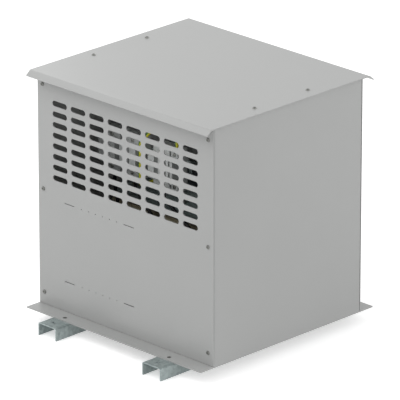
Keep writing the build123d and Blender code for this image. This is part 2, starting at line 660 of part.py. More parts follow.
def rail_brackets(side):
    """Two L brackets that stand on an upper clamp and carry the rail."""
    face = CORE_FACE + RAIL_BACK
    top = RAIL_MIDDLE + RAIL_CROWN / 2
    with BuildPart() as group:
        for x in BRACKET_PLACES:
            with BuildSketch(Plane.YZ.offset(x - BRACKET_WIDTH / 2)):
                with Locations((side * (face - BRACKET_SHEET / 2), (UPPER_CLAMP_TOP + top) / 2)):
                    Rectangle(BRACKET_SHEET, top - UPPER_CLAMP_TOP)
                foot_y = face - (BRACKET_FOOT + BRACKET_SHEET) / 2
                with Locations((side * foot_y, UPPER_CLAMP_TOP + BRACKET_SHEET / 2)):
                    Rectangle(BRACKET_FOOT + BRACKET_SHEET, BRACKET_SHEET)
            extrude(amount=BRACKET_WIDTH)
        with BuildSketch(Plane.XY.offset(UPPER_CLAMP_TOP)):
            with Locations(*bracket_holes(side)):
                Circle(SCREW_HOLE)
        extrude(amount=2 * BRACKET_SHEET, mode=Mode.SUBTRACT)
        with BuildSketch(Plane.XZ):
            with Locations(*[(x, RAIL_MIDDLE) for x in BRACKET_PLACES]):
                Circle(SCREW_HOLE)
        extrude(amount=-side * CLAMP_FRONT, mode=Mode.SUBTRACT)
    return group


def terminal_blocks(side, places, width):
    """Feed-through terminals clipped on a rail: stepped bodies with entries above and below."""
    front = side * RAIL_FRONT
    nose = side * (RAIL_FRONT + BLOCK_DEPTH)
    with BuildPart() as group:
        for x in places:
            with BuildSketch(Plane.YZ.offset(x - width / 2)):
                with Locations((front + side * BLOCK_SHOULDER / 2, RAIL_MIDDLE)):
                    Rectangle(BLOCK_SHOULDER, BLOCK_HEIGHT)
                with Locations((front + side * BLOCK_DEPTH / 2, RAIL_MIDDLE)):
                    Rectangle(BLOCK_DEPTH, BLOCK_NOSE)
                for up in (-1, 1):
                    arm_z = RAIL_MIDDLE + up * (RAIL_HEIGHT / 2 + CLAW_GAP + CLAW / 2)
                    with Locations((front - side * CLAW / 2, arm_z)):
                        Rectangle(CLAW, CLAW)
                    hook_y = front - side * (RAIL_SHEET + CLAW_GAP + CLAW) / 2
                    hook_z = RAIL_MIDDLE + up * (RAIL_HEIGHT / 2 - CLAW / 4)
                    with Locations((hook_y, hook_z)):
                        Rectangle(CLAW - RAIL_SHEET - CLAW_GAP, CLAW / 2 + 2 * CLAW_GAP)
            extrude(amount=width)
        entries = [(x, side * ENTRY_Y) for x in places]
        for level, depth in ((BLOCK_BOTTOM, ENTRY_DEPTH), (BLOCK_TOP, -ENTRY_DEPTH)):
            with BuildSketch(Plane.XY.offset(level)):
                with Locations(*entries):
                    Circle(LEAD + LEAD_PLAY)
            extrude(amount=depth, mode=Mode.SUBTRACT)
        with BuildSketch(*[facing((x, nose, RAIL_MIDDLE), (0, side, 0)) for x in places]):
            Rectangle(width / 4, BLOCK_NOSE)
        extrude(amount=-BLOCK_DEPTH / 4, mode=Mode.SUBTRACT)
    return group


def lead_path(points):
    """A lead's route: straight runs with a rounded turn at each corner."""
    with BuildLine() as route:
        FilletPolyline(*points, radius=LEAD_BEND)
    return route.line


def leads(routes):
    """Insulated leads, one along each route."""
    with BuildPart() as group:
        for points in routes:
            path = lead_path(points)
            with BuildLine():
                add(path)
            with BuildSketch(Plane(origin=path @ 0, z_dir=path % 0)):
                Circle(LEAD)
            sweep()
    return group


def terminal_route(side, start_x, end_x):
    """From a winding's face, out past the clamp, across and up into a terminal."""
    out = side * ENTRY_Y
    return [
        (start_x, side * (CORE_FACE + HV_OUT), LEAD_LEVEL),
        (start_x, out, LEAD_LEVEL),
        (end_x, out, BLOCK_BOTTOM - LEAD_RISE),
        (end_x, out, BLOCK_BOTTOM + ENTRY_DEPTH - LEAD_PLAY),
    ]


primary_ends = zip(PRIMARY_STARTS, PRIMARY_PLACES)
secondary_ends = zip(SECONDARY_STARTS, SECONDARY_PLACES)
primary_leads = leads([terminal_route(-1, start, end) for start, end in primary_ends])
secondary_leads = leads([terminal_route(1, start, end) for start, end in secondary_ends])

lug_level = UPPER_CLAMP_TOP + LUG_SHEET + LEAD
earth_loop = BLOCK_TOP + 3 * LEAD_BEND
earth_route = [
    (EARTH_X, -CLAMP_FRONT - LUG_SHEET, lug_level),
    (EARTH_X, -EARTH_FRONT, lug_level),
    (EARTH_X, -EARTH_FRONT, BLOCK_TOP),
    (EARTH_X + 2 * LEAD_BEND, -(EARTH_FRONT + ENTRY_Y) / 2, earth_loop),
    (EARTH_BLOCK_PLACE, -ENTRY_Y, earth_loop),
    (EARTH_BLOCK_PLACE, -ENTRY_Y, BLOCK_TOP - ENTRY_DEPTH + LEAD_PLAY),
]
earth_lead = leads([earth_route])

with BuildPart() as earth_lug:
    with BuildSketch(Plane.XY.offset(UPPER_CLAMP_TOP)):
        with Locations((EARTH_X, -EARTH_STUD_Y)):
            SlotOverall(2 * LUG_WIDTH, LUG_WIDTH, rotation=90)
        with Locations((EARTH_X, -EARTH_STUD_Y)):
            Circle(SCREW_HOLE, mode=Mode.SUBTRACT)
    extrude(amount=LUG_SHEET)
    with BuildSketch(Plane.XZ.offset(CLAMP_FRONT + LUG_SHEET)):
        with Locations((EARTH_X, lug_level)):
            Circle(LEAD + LUG_SHEET)
        with Locations((EARTH_X, lug_level - LEAD)):
            Rectangle(2 * (LEAD + LUG_SHEET), 2 * LUG_SHEET)
    extrude(amount=-LUG_WIDTH / 2)

earth_screw = button_screws(
    [facing((EARTH_X, -EARTH_STUD_Y, UPPER_CLAMP_TOP + LUG_SHEET), (0, 0, 1))], SCREW_LENGTH
)
bracket_screws = button_screws(
    [
        facing((x, y, UPPER_CLAMP_TOP + BRACKET_SHEET), (0, 0, 1))
        for x, y in bracket_holes(-1) + bracket_holes(1)
    ],
    SCREW_LENGTH,
)
rail_screws = button_screws(
    [
        facing((x, side * (CORE_FACE + RAIL_BACK + RAIL_SHEET), RAIL_MIDDLE), (0, side, 0))
        for x in BRACKET_PLACES
        for side in (-1, 1)
    ],
    SCREW_LENGTH,
)

# --- Write every piece -----------------------------------------------------------------------------
os.makedirs("parts", exist_ok=True)
save(base_plate, "base_plate")
save(channel(-CHANNEL_X), "channel_left")
save(channel(CHANNEL_X), "channel_right")
save(side_panel(-1), "side_panel_left")
save(side_panel(1), "side_panel_right")
save(grille_panel(-1, True), "front_panel")
save(grille_panel(1, False), "rear_panel")
save(roof_panel, "roof_panel")
save(front_panel_screws, "front_panel_screws")
save(rear_panel_screws, "rear_panel_screws")
save(roof_screws, "roof_screws")
save(ledge_screws, "ledge_screws")
save(enclosure_nuts, "enclosure_nuts")
save(flange_screws, "flange_screws")
save(flange_nuts, "flange_nuts")
save(core, "core")
save(lower_clamp_front, "lower_clamp_front")
save(lower_clamp_rear, "lower_clamp_rear")
save(upper_clamp_front, "upper_clamp_front")
save(upper_clamp_rear, "upper_clamp_rear")
save(clamp_studs, "clamp_studs")
save(stud_tubes, "stud_tubes")
save(stud_washers, "stud_washers")
save(stud_nuts, "stud_nuts")
save(foot_bolts, "foot_bolts")
save(foot_washers, "foot_washers")
save(foot_nuts, "foot_nuts")
for place, x in zip(("left", "centre", "right"), LIMB_PLACES):
    save(bobbin(x), f"bobbin_{place}")
    save(winding(x, BOBBIN_OUT, LV_OUT), f"lv_winding_{place}")
    save(winding(x, DUCT_OUT, HV_OUT), f"hv_winding_{place}")
    save(duct_spacers(x), f"duct_spacers_{place}")
for place, side in (("front", -1), ("rear", 1)):
    save(rail(side), f"terminal_rail_{place}")
    save(rail_brackets(side), f"rail_brackets_{place}")
save(rail_screws, "rail_screws")
save(bracket_screws, "bracket_screws")
save(terminal_blocks(-1, PRIMARY_PLACES, PRIMARY_WIDTH), "primary_terminals")
save(terminal_blocks(1, SECONDARY_PLACES, SECONDARY_WIDTH), "secondary_terminals")
save(terminal_blocks(-1, (EARTH_BLOCK_PLACE,), EARTH_BLOCK_WIDTH), "earth_terminal")
save(primary_leads, "primary_leads")
save(secondary_leads, "secondary_leads")
save(earth_lead, "earth_lead")
save(earth_lug, "earth_lug")
save(earth_screw, "earth_screw")
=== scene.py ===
"""A dry-type transformer in a ventilated sheet-steel enclosure, dressed for rendering.

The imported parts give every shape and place. This file gives them their finishes. It adds the
tape round the windings, the terminals' clamping screws, the sleeves on the leads, and the
studio round the object.
"""

import json
import logging
import math
from collections.abc import Callable
from dataclasses import dataclass
from enum import Enum
from functools import cache

import bmesh
import bpy
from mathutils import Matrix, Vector

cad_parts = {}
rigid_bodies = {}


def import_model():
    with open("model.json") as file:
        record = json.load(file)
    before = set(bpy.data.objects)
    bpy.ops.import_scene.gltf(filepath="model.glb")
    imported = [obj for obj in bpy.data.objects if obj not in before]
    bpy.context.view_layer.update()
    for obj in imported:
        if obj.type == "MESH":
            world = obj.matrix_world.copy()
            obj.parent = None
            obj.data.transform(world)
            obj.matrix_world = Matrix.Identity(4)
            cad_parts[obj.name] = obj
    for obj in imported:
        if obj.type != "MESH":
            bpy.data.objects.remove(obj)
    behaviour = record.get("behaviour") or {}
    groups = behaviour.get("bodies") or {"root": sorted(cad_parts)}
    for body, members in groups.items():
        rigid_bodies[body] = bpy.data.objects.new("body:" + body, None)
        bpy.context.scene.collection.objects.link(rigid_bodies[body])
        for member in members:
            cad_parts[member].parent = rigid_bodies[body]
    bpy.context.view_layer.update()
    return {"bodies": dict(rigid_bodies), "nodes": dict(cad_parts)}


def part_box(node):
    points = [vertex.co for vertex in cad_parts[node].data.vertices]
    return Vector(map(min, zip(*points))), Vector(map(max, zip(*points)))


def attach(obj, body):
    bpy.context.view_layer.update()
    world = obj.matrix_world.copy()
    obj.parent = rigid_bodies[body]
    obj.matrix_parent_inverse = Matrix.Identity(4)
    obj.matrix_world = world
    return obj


MILLIMETRE = 0.001
BODY = "root"
ROUND_SIDES = 32
SMOOTH_ANGLE = math.radians(35)
WAVE_PERIOD = math.tau / 20  # metres from band to band of a Wave texture at scale 1
MIX_FACTOR, MIX_LOW, MIX_HIGH, MIX_RESULT = 0, 6, 7, 2  # a colour Mix repeats its socket names
log = logging.getLogger("transformer")

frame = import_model()


class Facing(Enum):
    """Which way a row of terminals looks, as the sign of its Y direction."""

    FRONT = -1
    REAR = 1


# --- Colours and nodes ------------------------------------------------------------------------
def linear(hex_colour: str) -> tuple[float, float, float, float]:
    """Turn an sRGB hex colour to linear.

    Args:
        hex_colour: six hex digits, such as "B4B5B4".

    Returns:
        Linear red, green and blue, with an alpha of 1.
    """
    parts = [int(hex_colour[k : k + 2], 16) / 255 for k in (0, 2, 4)]
    red, green, blue = (c / 12.92 if c <= 0.04045 else ((c + 0.055) / 1.055) ** 2.4 for c in parts)
    return (red, green, blue, 1.0)


def add_node(
    tree: bpy.types.NodeTree,
    kind: str,
    values: dict[str | int, object] | None = None,
    links: dict[str | int, bpy.types.NodeSocket] | None = None,
    **settings: object,
) -> bpy.types.Node:
    """Add a node with its settings and links.

    Args:
        tree: the node tree that gets the node.
        kind: the node's type name.
        values: plain values by input name or number.
        links: source sockets by input name or number.
        **settings: properties of the node itself.

    Returns:
        The new node.
    """
    node = tree.nodes.new(kind)
    for name, value in settings.items():
        setattr(node, name, value)
    for name, value in (values or {}).items():
        node.inputs[name].default_value = value
    for name, source in (links or {}).items():
        tree.links.new(source, node.inputs[name])
    return node


def per_metre(size_mm: float) -> float:
    """A texture scale whose cells are about this many millimetres."""
    return 1 / (size_mm * MILLIMETRE)


def wave_scale(period_mm: float) -> float:
    """A Wave texture's scale for bands that repeat at this many millimetres."""
    return WAVE_PERIOD / (period_mm * MILLIMETRE)


class Shader:
    """A new material that has one shader, reads Object coordinates and waits for its textures."""

    def __init__(self, name: str, **values: float) -> None:
        """Make the material, its tree and its shader.

        Args:
            name: the material's name.
            **values: plain values by shader socket, with _ for a space.
        """
        self.material = bpy.data.materials.new(name)
        self.material.use_nodes = True
        self.tree = self.material.node_tree
        self.tree.nodes.clear()
        plain = {key.replace("_", " "): value for key, value in values.items()}
        self.surface = add_node(self.tree, "ShaderNodeBsdfPrincipled", plain)
        add_node(self.tree, "ShaderNodeOutputMaterial", links={"Surface": self.surface.outputs[0]})
        self.place = add_node(self.tree, "ShaderNodeTexCoord").outputs["Object"]


@dataclass(frozen=True)
class Finish:
    """What all finishes share: two colours, a range of roughness and a relief."""

    name: str
    colour_low: str
    colour_high: str
    roughness: tuple[float, float] = (0.5, 0.5)
    relief: float = 0.0
    relief_mm: float = 0.0

    @cache
    def material(self) -> bpy.types.Material:
        """The finish as a material, made the first time it is asked for."""
        return self.build()

    def build(self) -> bpy.types.Material:
        """Make the material. Each finish has its own."""
        raise NotImplementedError

    def vary(
        self,
        shader: Shader,
        colour_by: bpy.types.NodeSocket,
        roughness_by: bpy.types.NodeSocket | None = None,
        height_by: bpy.types.NodeSocket | None = None,
    ) -> bpy.types.Material:
        """Let textures vary a shader's colour, roughness and relief.

        Args:
            shader: the new material's shader.
            colour_by: goes from the low colour at 0 to the high one at 1.
            roughness_by: goes over the finish's range of roughness.
            height_by: stands out of the surface by the finish's relief.

        Returns:
            The finished material.
        """
        tree, inputs = shader.tree, shader.surface.inputs
        colours = {MIX_LOW: linear(self.colour_low), MIX_HIGH: linear(self.colour_high)}
        blend = add_node(tree, "ShaderNodeMix", colours, {MIX_FACTOR: colour_by}, data_type="RGBA")
        tree.links.new(blend.outputs[MIX_RESULT], inputs["Base Color"])
        if roughness_by is not None:
            smooth, rough = self.roughness
            limits = {"To Min": smooth, "To Max": rough}
            spread = add_node(tree, "ShaderNodeMapRange", limits, {"Value": roughness_by})
            tree.links.new(spread.outputs[0], inputs["Roughness"])
        if height_by is not None:
            size = {"Strength": self.relief, "Distance": self.relief_mm * MILLIMETRE}
            bump = add_node(tree, "ShaderNodeBump", size, {"Height": height_by})
            tree.links.new(bump.outputs[0], inputs["Normal"])
        return shader.material


@dataclass(frozen=True)
class PowderCoat(Finish):
    """Polyester powder coat, sprayed and baked: an even grey with a faint peel and a soft gloss."""

    name: str = "powder_coat_light_grey"
    colour_low: str = "ABACAB"
    colour_high: str = "AFB0AF"
    roughness: tuple[float, float] = (0.3, 0.36)
    relief: float = 0.12
    relief_mm: float = 0.05
    peel_mm: float = 2.5
    cloud_mm: float = 160.0

    def build(self) -> bpy.types.Material:
        """Grey film over steel, its gloss broken by the peel."""
        shader = Shader(self.name, IOR=1.5)
        cloud, peel = (
            add_node(
                shader.tree,
                "ShaderNodeTexNoise",
                {"Scale": per_metre(size_mm), "Detail": detail},
                {"Vector": shader.place},
            )
            for size_mm, detail in ((self.cloud_mm, 2.0), (self.peel_mm, 1.0))
        )
        return self.vary(shader, cloud.outputs[0], cloud.outputs[0], peel.outputs[0])


@dataclass(frozen=True)
class GalvanisedSheet(Finish):
    """Hot-dip galvanised sheet: crystals of zinc, each a little lighter or duller than the next."""

    name: str = "hot_dip_galvanised_sheet"
    colour_low: str = "909B9B"
    colour_high: str = "A7B2B1"
    roughness: tuple[float, float] = (0.36, 0.58)
    relief: float = 0.15
    relief_mm: float = 0.05
    spangle_mm: float = 6.0
    ragged_mm: float = 6.0
    pull_mm: float = 4.0
    frost_mm: float = 1.2

    def build(self) -> bpy.types.Material:
        """Flat crystals by a cell pattern with ragged edges, and frost inside each."""
        shader = Shader(self.name, Metallic=0.6)
        ragged, frost = (
            add_node(
                shader.tree,
                "ShaderNodeTexNoise",
                {"Scale": per_metre(size_mm), "Detail": 2.0},
                {"Vector": shader.place},
            )
            for size_mm in (self.ragged_mm, self.frost_mm)
        )
        pull = add_node(
            shader.tree,
            "ShaderNodeVectorMath",
            {1: (self.pull_mm * MILLIMETRE,) * 3},
            {0: ragged.outputs["Color"]},
            operation="MULTIPLY",
        )
        moved = add_node(
            shader.tree,
            "ShaderNodeVectorMath",
            links={0: shader.place, 1: pull.outputs[0]},
            operation="ADD",
        )
        spangle = add_node(
            shader.tree,
            "ShaderNodeTexVoronoi",
            {"Scale": per_metre(self.spangle_mm)},
            {"Vector": moved.outputs[0]},
        )
        tone = add_node(
            shader.tree, "ShaderNodeSeparateColor", links={0: spangle.outputs["Color"]}
        )
        return self.vary(shader, tone.outputs[0], tone.outputs[1], frost.outputs[0])


@dataclass(frozen=True)
class PlatedMetal(Finish):
    """A thin plating of zinc or tin: bright metal dulled by its own cloudy skin."""

    roughness: tuple[float, float] = (0.3, 0.5)
    smear_mm: float = 3.0

    def build(self) -> bpy.types.Material:
        """Metal with a cloudy skin."""
        shader = Shader(self.name, Metallic=1.0)
        smear = add_node(
            shader.tree,
            "ShaderNodeTexNoise",
            {"Scale": per_metre(self.smear_mm), "Detail": 3.0},
            {"Vector": shader.place},
        )
        return self.vary(shader, smear.outputs[0], smear.outputs[0])


@dataclass(frozen=True)
class StackedSteel(Finish):
    """The core: edges of grain-oriented steel sheets stacked along Y and dipped in dark varnish."""

    name: str = "varnished_electrical_steel"
    colour_low: str = "2A2E33"
    colour_high: str = "4B5259"
    roughness: tuple[float, float] = (0.4, 0.6)
    relief: float = 0.4
    relief_mm: float = 0.15
    sheet_mm: float = 1.6  # five sheets as one line, because one of 0.3 mm is too fine to show

    def build(self) -> bpy.types.Material:
        """Fine lines across the stack, under a coat of varnish."""
        shader = Shader(self.name, Metallic=0.35, Coat_Weight=0.25, Coat_Roughness=0.2)
        lines = add_node(
            shader.tree,
            "ShaderNodeTexWave",
            {"Scale": wave_scale(self.sheet_mm), "Distortion": 0.4, "Detail Scale": 3.0},
            {"Vector": shader.place},
            bands_direction="Y",
        ).outputs["Fac"]
        return self.vary(shader, lines, lines, lines)


@dataclass(frozen=True)
class VarnishedWrap(Finish):
    """Insulating tape laid in turns and soaked in baked varnish: dull laps with a raised edge."""

    roughness: tuple[float, float] = (0.45, 0.65)
    relief: float = 0.5
    relief_mm: float = 0.3
    tape_mm: float = 20.0
    fibre_mm: float = 1.5

    def build(self) -> bpy.types.Material:
        """Lapped turns with a raised edge each, and fibres between."""
        shader = Shader(self.name, IOR=1.5, Coat_Weight=0.3, Coat_Roughness=0.25)
        laps = add_node(
            shader.tree,
            "ShaderNodeTexWave",
            {"Scale": wave_scale(self.tape_mm), "Distortion": 0.3},
            {"Vector": shader.place},
            bands_direction="Z",
            wave_profile="SAW",
        )
        fibre = add_node(
            shader.tree,
            "ShaderNodeTexNoise",
            {"Scale": per_metre(self.fibre_mm), "Detail": 4.0},
            {"Vector": shader.place},
        )
        return self.vary(shader, fibre.outputs[0], fibre.outputs[0], laps.outputs["Fac"])


@dataclass(frozen=True)
class WovenTape(Finish):
    """Woven glass tape: pale threads that cross, darkened a little by the varnish."""

    name: str = "woven_glass_tape"
    colour_low: str = "B5AD94"
    colour_high: str = "D3CCB6"
    relief: float = 0.5
    relief_mm: float = 0.15
    thread_mm: float = 1.2  # coarser than a real thread of about 0.5 mm, which is too fine to show

    def build(self) -> bpy.types.Material:
        """Threads up and along, as two fine waves."""
        shader = Shader(self.name, IOR=1.5, Roughness=0.6)
        upright, slanted = (
            add_node(
                shader.tree,
                "ShaderNodeTexWave",
                {"Scale": wave_scale(self.thread_mm)},
                {"Vector": shader.place},
                bands_direction=direction,
            )
            for direction in ("Z", "DIAGONAL")
        )
        weave = add_node(
            shader.tree,
            "ShaderNodeMath",
            links={0: upright.outputs["Fac"], 1: slanted.outputs["Fac"]},
            operation="MULTIPLY",
        )
        return self.vary(shader, weave.outputs[0], height_by=weave.outputs[0])


@dataclass(frozen=True)
class MouldedPlastic(Finish):
    """Moulded or extruded plastic: even colour, with a fine grain from the tool."""

    roughness: tuple[float, float] = (0.4, 0.55)
    relief: float = 0.2
    relief_mm: float = 0.04
    grain_mm: float = 0.8

    def build(self) -> bpy.types.Material:
        """One colour with fine grain in its gloss and surface."""
        shader = Shader(self.name, IOR=1.53)
        grain = add_node(
            shader.tree,
            "ShaderNodeTexNoise",
            {"Scale": per_metre(self.grain_mm), "Detail": 2.0},
            {"Vector": shader.place},
        ).outputs[0]
        return self.vary(shader, grain, grain, grain)


@dataclass(frozen=True)
class EarthSheath(Finish):
    """Extruded PVC of an earth wire: yellow, with one green stripe along it."""

    name: str = "yellow_green_pvc"
    colour_low: str = "C9C21E"
    colour_high: str = "4F7F26"
    stripe_toward: tuple[float, float, float] = (-0.5, -0.6, 0.62)
    stripe_edge: tuple[float, float] = (0.48, 0.54)

    def build(self) -> bpy.types.Material:
        """Green where the sheath faces one way, which marks every straight run lengthwise."""
        shader = Shader(self.name, IOR=1.53, Roughness=0.4)
        facing = add_node(shader.tree, "ShaderNodeTexCoord")
        side = add_node(
            shader.tree,
            "ShaderNodeVectorMath",
            {1: self.stripe_toward},
            {0: facing.outputs["Normal"]},
            operation="DOT_PRODUCT",
        )
        outer, inner = self.stripe_edge
        edge = add_node(
            shader.tree,
            "ShaderNodeMapRange",
            {"From Min": outer, "From Max": inner},
            {"Value": side.outputs["Value"]},
        )
        return self.vary(shader, edge.outputs[0])


POWDER_COAT = PowderCoat()
GALVANISED = GalvanisedSheet()
ZINC = PlatedMetal("bright_zinc_plated_steel", "A9AAA6", "C2C3BE")
# Zinc-plated enclosure screws in a darker tone than ZINC: painted shade, which stands for the shade
# in their sockets and round their heads.
SHADE_DARKENED_ZINC = PlatedMetal("zinc_plated_steel_darkened_as_painted_shade", "70716E", "8A8B87")
TIN = PlatedMetal("tinned_copper", "B3ADA3", "CAC5BC")
CORE_STEEL = StackedSteel()
HV_WRAP = VarnishedWrap("varnished_pressboard_wrap", "8F8672", "B3A98F")
LV_WRAP = VarnishedWrap("varnished_aramid_wrap", "6E4F2C", "8D6A3E")
GLASS_BOARD = VarnishedWrap("glass_fibre_board", "A79A6A", "C2B687", tape_mm=6.0)
GLASS_TAPE = WovenTape()
BOBBIN_BLACK = MouldedPlastic("glass_filled_polyamide_black", "1C1C1D", "262627")
TERMINAL_GREY = MouldedPlastic("polyamide_terminal_grey", "AEB1B0", "BABDBC")
LEAD_BLACK = MouldedPlastic(
    "pvc_lead_black", "141317", "1E1C24", roughness=(0.3, 0.45), grain_mm=3.0
)
EARTH = EarthSheath()


# --- Modelling helpers ------------------------------------------------------------------------
def clear_selection() -> None:
    """Leave edit mode and deselect every object."""
    if bpy.context.object and bpy.context.object.mode != "OBJECT":
        bpy.ops.object.mode_set(mode="OBJECT")
    bpy.ops.object.select_all(action="DESELECT")


def select_edges(piece: bpy.types.Object, wanted: Callable[[Vector, Vector], bool]) -> None:
    """Select edges of a piece in edit mode by where they run.

    Args:
        piece: the mesh object in edit mode.
        wanted: says from an edge's two ends whether it is selected.
    """
    bpy.ops.mesh.select_all(action="DESELECT")
    mesh = bmesh.from_edit_mesh(piece.data)
    for edge in mesh.edges:
        if wanted(edge.verts[0].co, edge.verts[1].co):
            edge.select_set(True)
    bmesh.update_edit_mesh(piece.data)


def select_faces(piece: bpy.types.Object, wanted: Callable[[Vector], bool]) -> None:
    """Select faces of a piece in edit mode by their normals.

    Args:
        piece: the mesh object in edit mode.
        wanted: says from a face's normal whether it is selected.
    """
    bpy.ops.mesh.select_all(action="DESELECT")
    mesh = bmesh.from_edit_mesh(piece.data)
    for face in mesh.faces:
        if wanted(face.normal):
            face.select_set(True)
    bmesh.update_edit_mesh(piece.data)


def repeat(pattern: bpy.types.Object, places: list[Vector]) -> bpy.types.Object:
    """Copy a pattern to several places as one piece, each copy with its own mesh.

    Args:
        pattern: the finished pattern, with its foot at the origin. It is used up.
        places: where the copies stand.

    Returns:
        The joined piece, with its turn and place applied.
    """
    copies = []
    for place in places:
        copy = pattern.copy()
        copy.data = pattern.data.copy()
        copy.location = place
        bpy.context.scene.collection.objects.link(copy)
        copies.append(copy)
    bpy.data.objects.remove(pattern)
    clear_selection()
    for copy in copies:
        copy.select_set(True)
    bpy.context.view_layer.objects.active = copies[0]
    bpy.ops.object.join()
    bpy.ops.object.transform_apply(location=True, rotation=True, scale=True)
    return bpy.context.object


def keep(piece: bpy.types.Object, name: str, finish: Finish) -> None:
    """Name a finished piece, give it its material and let it ride on the body.

    Args:
        piece: the finished mesh, at rest in the row frame.
        name: the piece's name.
        finish: its finish.
    """
    piece.name = name
    piece.data.name = name
    piece.data.materials.clear()
    piece.data.materials.append(finish.material())
    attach(piece, BODY)
    log.info("piece %s: %d faces", name, len(piece.data.polygons))


def dress(finish: Finish, *names: str) -> None:
    """Give CAD nodes a finish.

    Args:
        finish: the finish that they get.
        *names: the nodes' names.
    """
    for name in names:
        node = frame["nodes"][name]
        if not node.material_slots:
            node.data.materials.append(None)
        for place in node.material_slots:
            place.material = finish.material()
        log.info("node %s: %s", name, finish.name)


# --- Sub-assemblies ---------------------------------------------------------------------------
@dataclass
class Enclosure:
    """The painted walls, roof and base plate, and the screws that hold them."""

    panels: tuple[str, ...] = (
        "base_plate",
        "side_panel_left",
        "side_panel_right",
        "front_panel",
        "rear_panel",
        "roof_panel",
    )
    fasteners: tuple[str, ...] = (
        "front_panel_screws",
        "rear_panel_screws",
        "roof_screws",
        "ledge_screws",
        "flange_screws",
        "enclosure_nuts",
        "flange_nuts",
    )

    def build(self) -> None:
        """Dress the sheets and their fasteners."""
        dress(POWDER_COAT, *self.panels)
        # The enclosure's screws take the darkened zinc, which is painted shade for their sockets.
        dress(SHADE_DARKENED_ZINC, *self.fasteners)


@dataclass
class Mountings:
    """The two channels under the box and the bolts that hold the transformer to them."""

    channels: tuple[str, ...] = ("channel_left", "channel_right")
    fasteners: tuple[str, ...] = ("foot_bolts", "foot_washers", "foot_nuts")

    def build(self) -> None:
        """Dress the channels and the foot bolts."""
        dress(GALVANISED, *self.channels)
        dress(ZINC, *self.fasteners)


@dataclass
class WoundCore:
    """The laminated core, its clamps and its three coils."""

    places: tuple[str, ...] = ("left", "centre", "right")
    tape_width: float = 18 * MILLIMETRE
    tape_thickness: float = 0.5 * MILLIMETRE
    tape_levels: tuple[float, ...] = (0.16, 0.88)
    coil_corner: float = 33 * MILLIMETRE
    corner_steps: int = 10

    def build(self) -> None:
        """Dress the core, clamps and coils, and tie each coil."""
        dress(CORE_STEEL, "core")
        for level in ("lower", "upper"):
            dress(GALVANISED, f"{level}_clamp_front", f"{level}_clamp_rear")
        dress(ZINC, "clamp_studs", "stud_nuts", "stud_washers")
        dress(GLASS_BOARD, "stud_tubes")
        for place in self.places:
            dress(BOBBIN_BLACK, f"bobbin_{place}")
            dress(LV_WRAP, f"lv_winding_{place}")
            dress(HV_WRAP, f"hv_winding_{place}")
            dress(GLASS_BOARD, f"duct_spacers_{place}")
            for number, level in enumerate(self.tape_levels):
                self.tape(place, number, level)

    def tape(self, place: str, number: int, level: float) -> None:
        """A turn of glass tape drawn tight round a coil.

        Args:
            place: which coil.
            number: the turn's number on that coil, from the foot up.
            level: its height as a share of the winding's height.
        """
        low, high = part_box(f"hv_winding_{place}")
        middle = (low + high) / 2
        size = high - low
        clear_selection()
        bpy.ops.mesh.primitive_cube_add(
            size=1,
            location=(middle.x, middle.y, low.z + level * size.z),
            scale=(size.x, size.y, self.tape_width),
        )
        piece = bpy.context.object
        bpy.ops.object.transform_apply(location=True, rotation=True, scale=True)
        bpy.ops.object.mode_set(mode="EDIT")
        select_faces(piece, lambda normal: abs(normal.z) > 0.5)  # the cube's top and bottom
        bpy.ops.mesh.delete(type="FACE")
        select_edges(piece, lambda a, b: abs(a.z - b.z) > self.tape_width / 2)
        bpy.ops.mesh.bevel(offset=self.coil_corner, segments=self.corner_steps)
        bpy.ops.object.mode_set(mode="OBJECT")
        wall = piece.modifiers.new("wall", "SOLIDIFY")
        wall.thickness = self.tape_thickness
        wall.offset = 1.0
        bpy.ops.object.modifier_apply(modifier=wall.name)
        bpy.ops.object.shade_smooth_by_angle(angle=SMOOTH_ANGLE)
        keep(piece, f"glass_tape_{place}_{number}", GLASS_TAPE)


